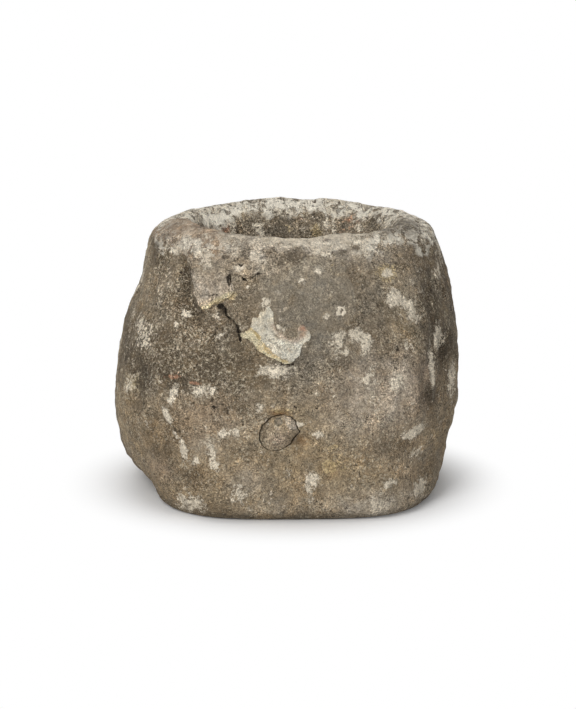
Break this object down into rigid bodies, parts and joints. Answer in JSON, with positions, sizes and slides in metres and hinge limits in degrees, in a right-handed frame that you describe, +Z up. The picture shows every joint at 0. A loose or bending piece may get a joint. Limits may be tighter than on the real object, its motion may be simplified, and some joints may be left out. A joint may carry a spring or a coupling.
{
  "type": "limestone trough",
  "caption": "Hollowed limestone trough with a rounded, weathered body, mortar repairs on its rim and front, and a drain hole low in front that a tapered bung stops.",
  "frame": {"origin": "on the ground, under the middle of the trough", "axes": "+X to the right of the front, -Y out of the front where the drain hole is, +Z up"},
  "size_m": [0.3996, 0.3775, 0.3189],
  "materials": {
    "limestone": "rough, weathered",
    "rim_mortar": "trowelled, worn smooth",
    "grey_mortar": "smooth, weathered",
    "lime_mortar": "rough lime",
    "chip_stone": "split stone",
    "bung_mortar": "rough"
  },
  "bodies": {
    "trough": {"stone_block": "limestone", "rim_mortar_cap": "rim_mortar", "front_mortar_fill": "grey_mortar", "lime_mortar_patch": "lime_mortar", "packing_chip": "chip_stone"},
    "bung": {"drain_plug": "bung_mortar"}
  },
  "joints": [
    {"name": "bung_slide", "type": "slide", "parent": "trough", "child": "bung", "axis": [0, -1, 0], "range_m": [0, 0.105]}
  ]
}
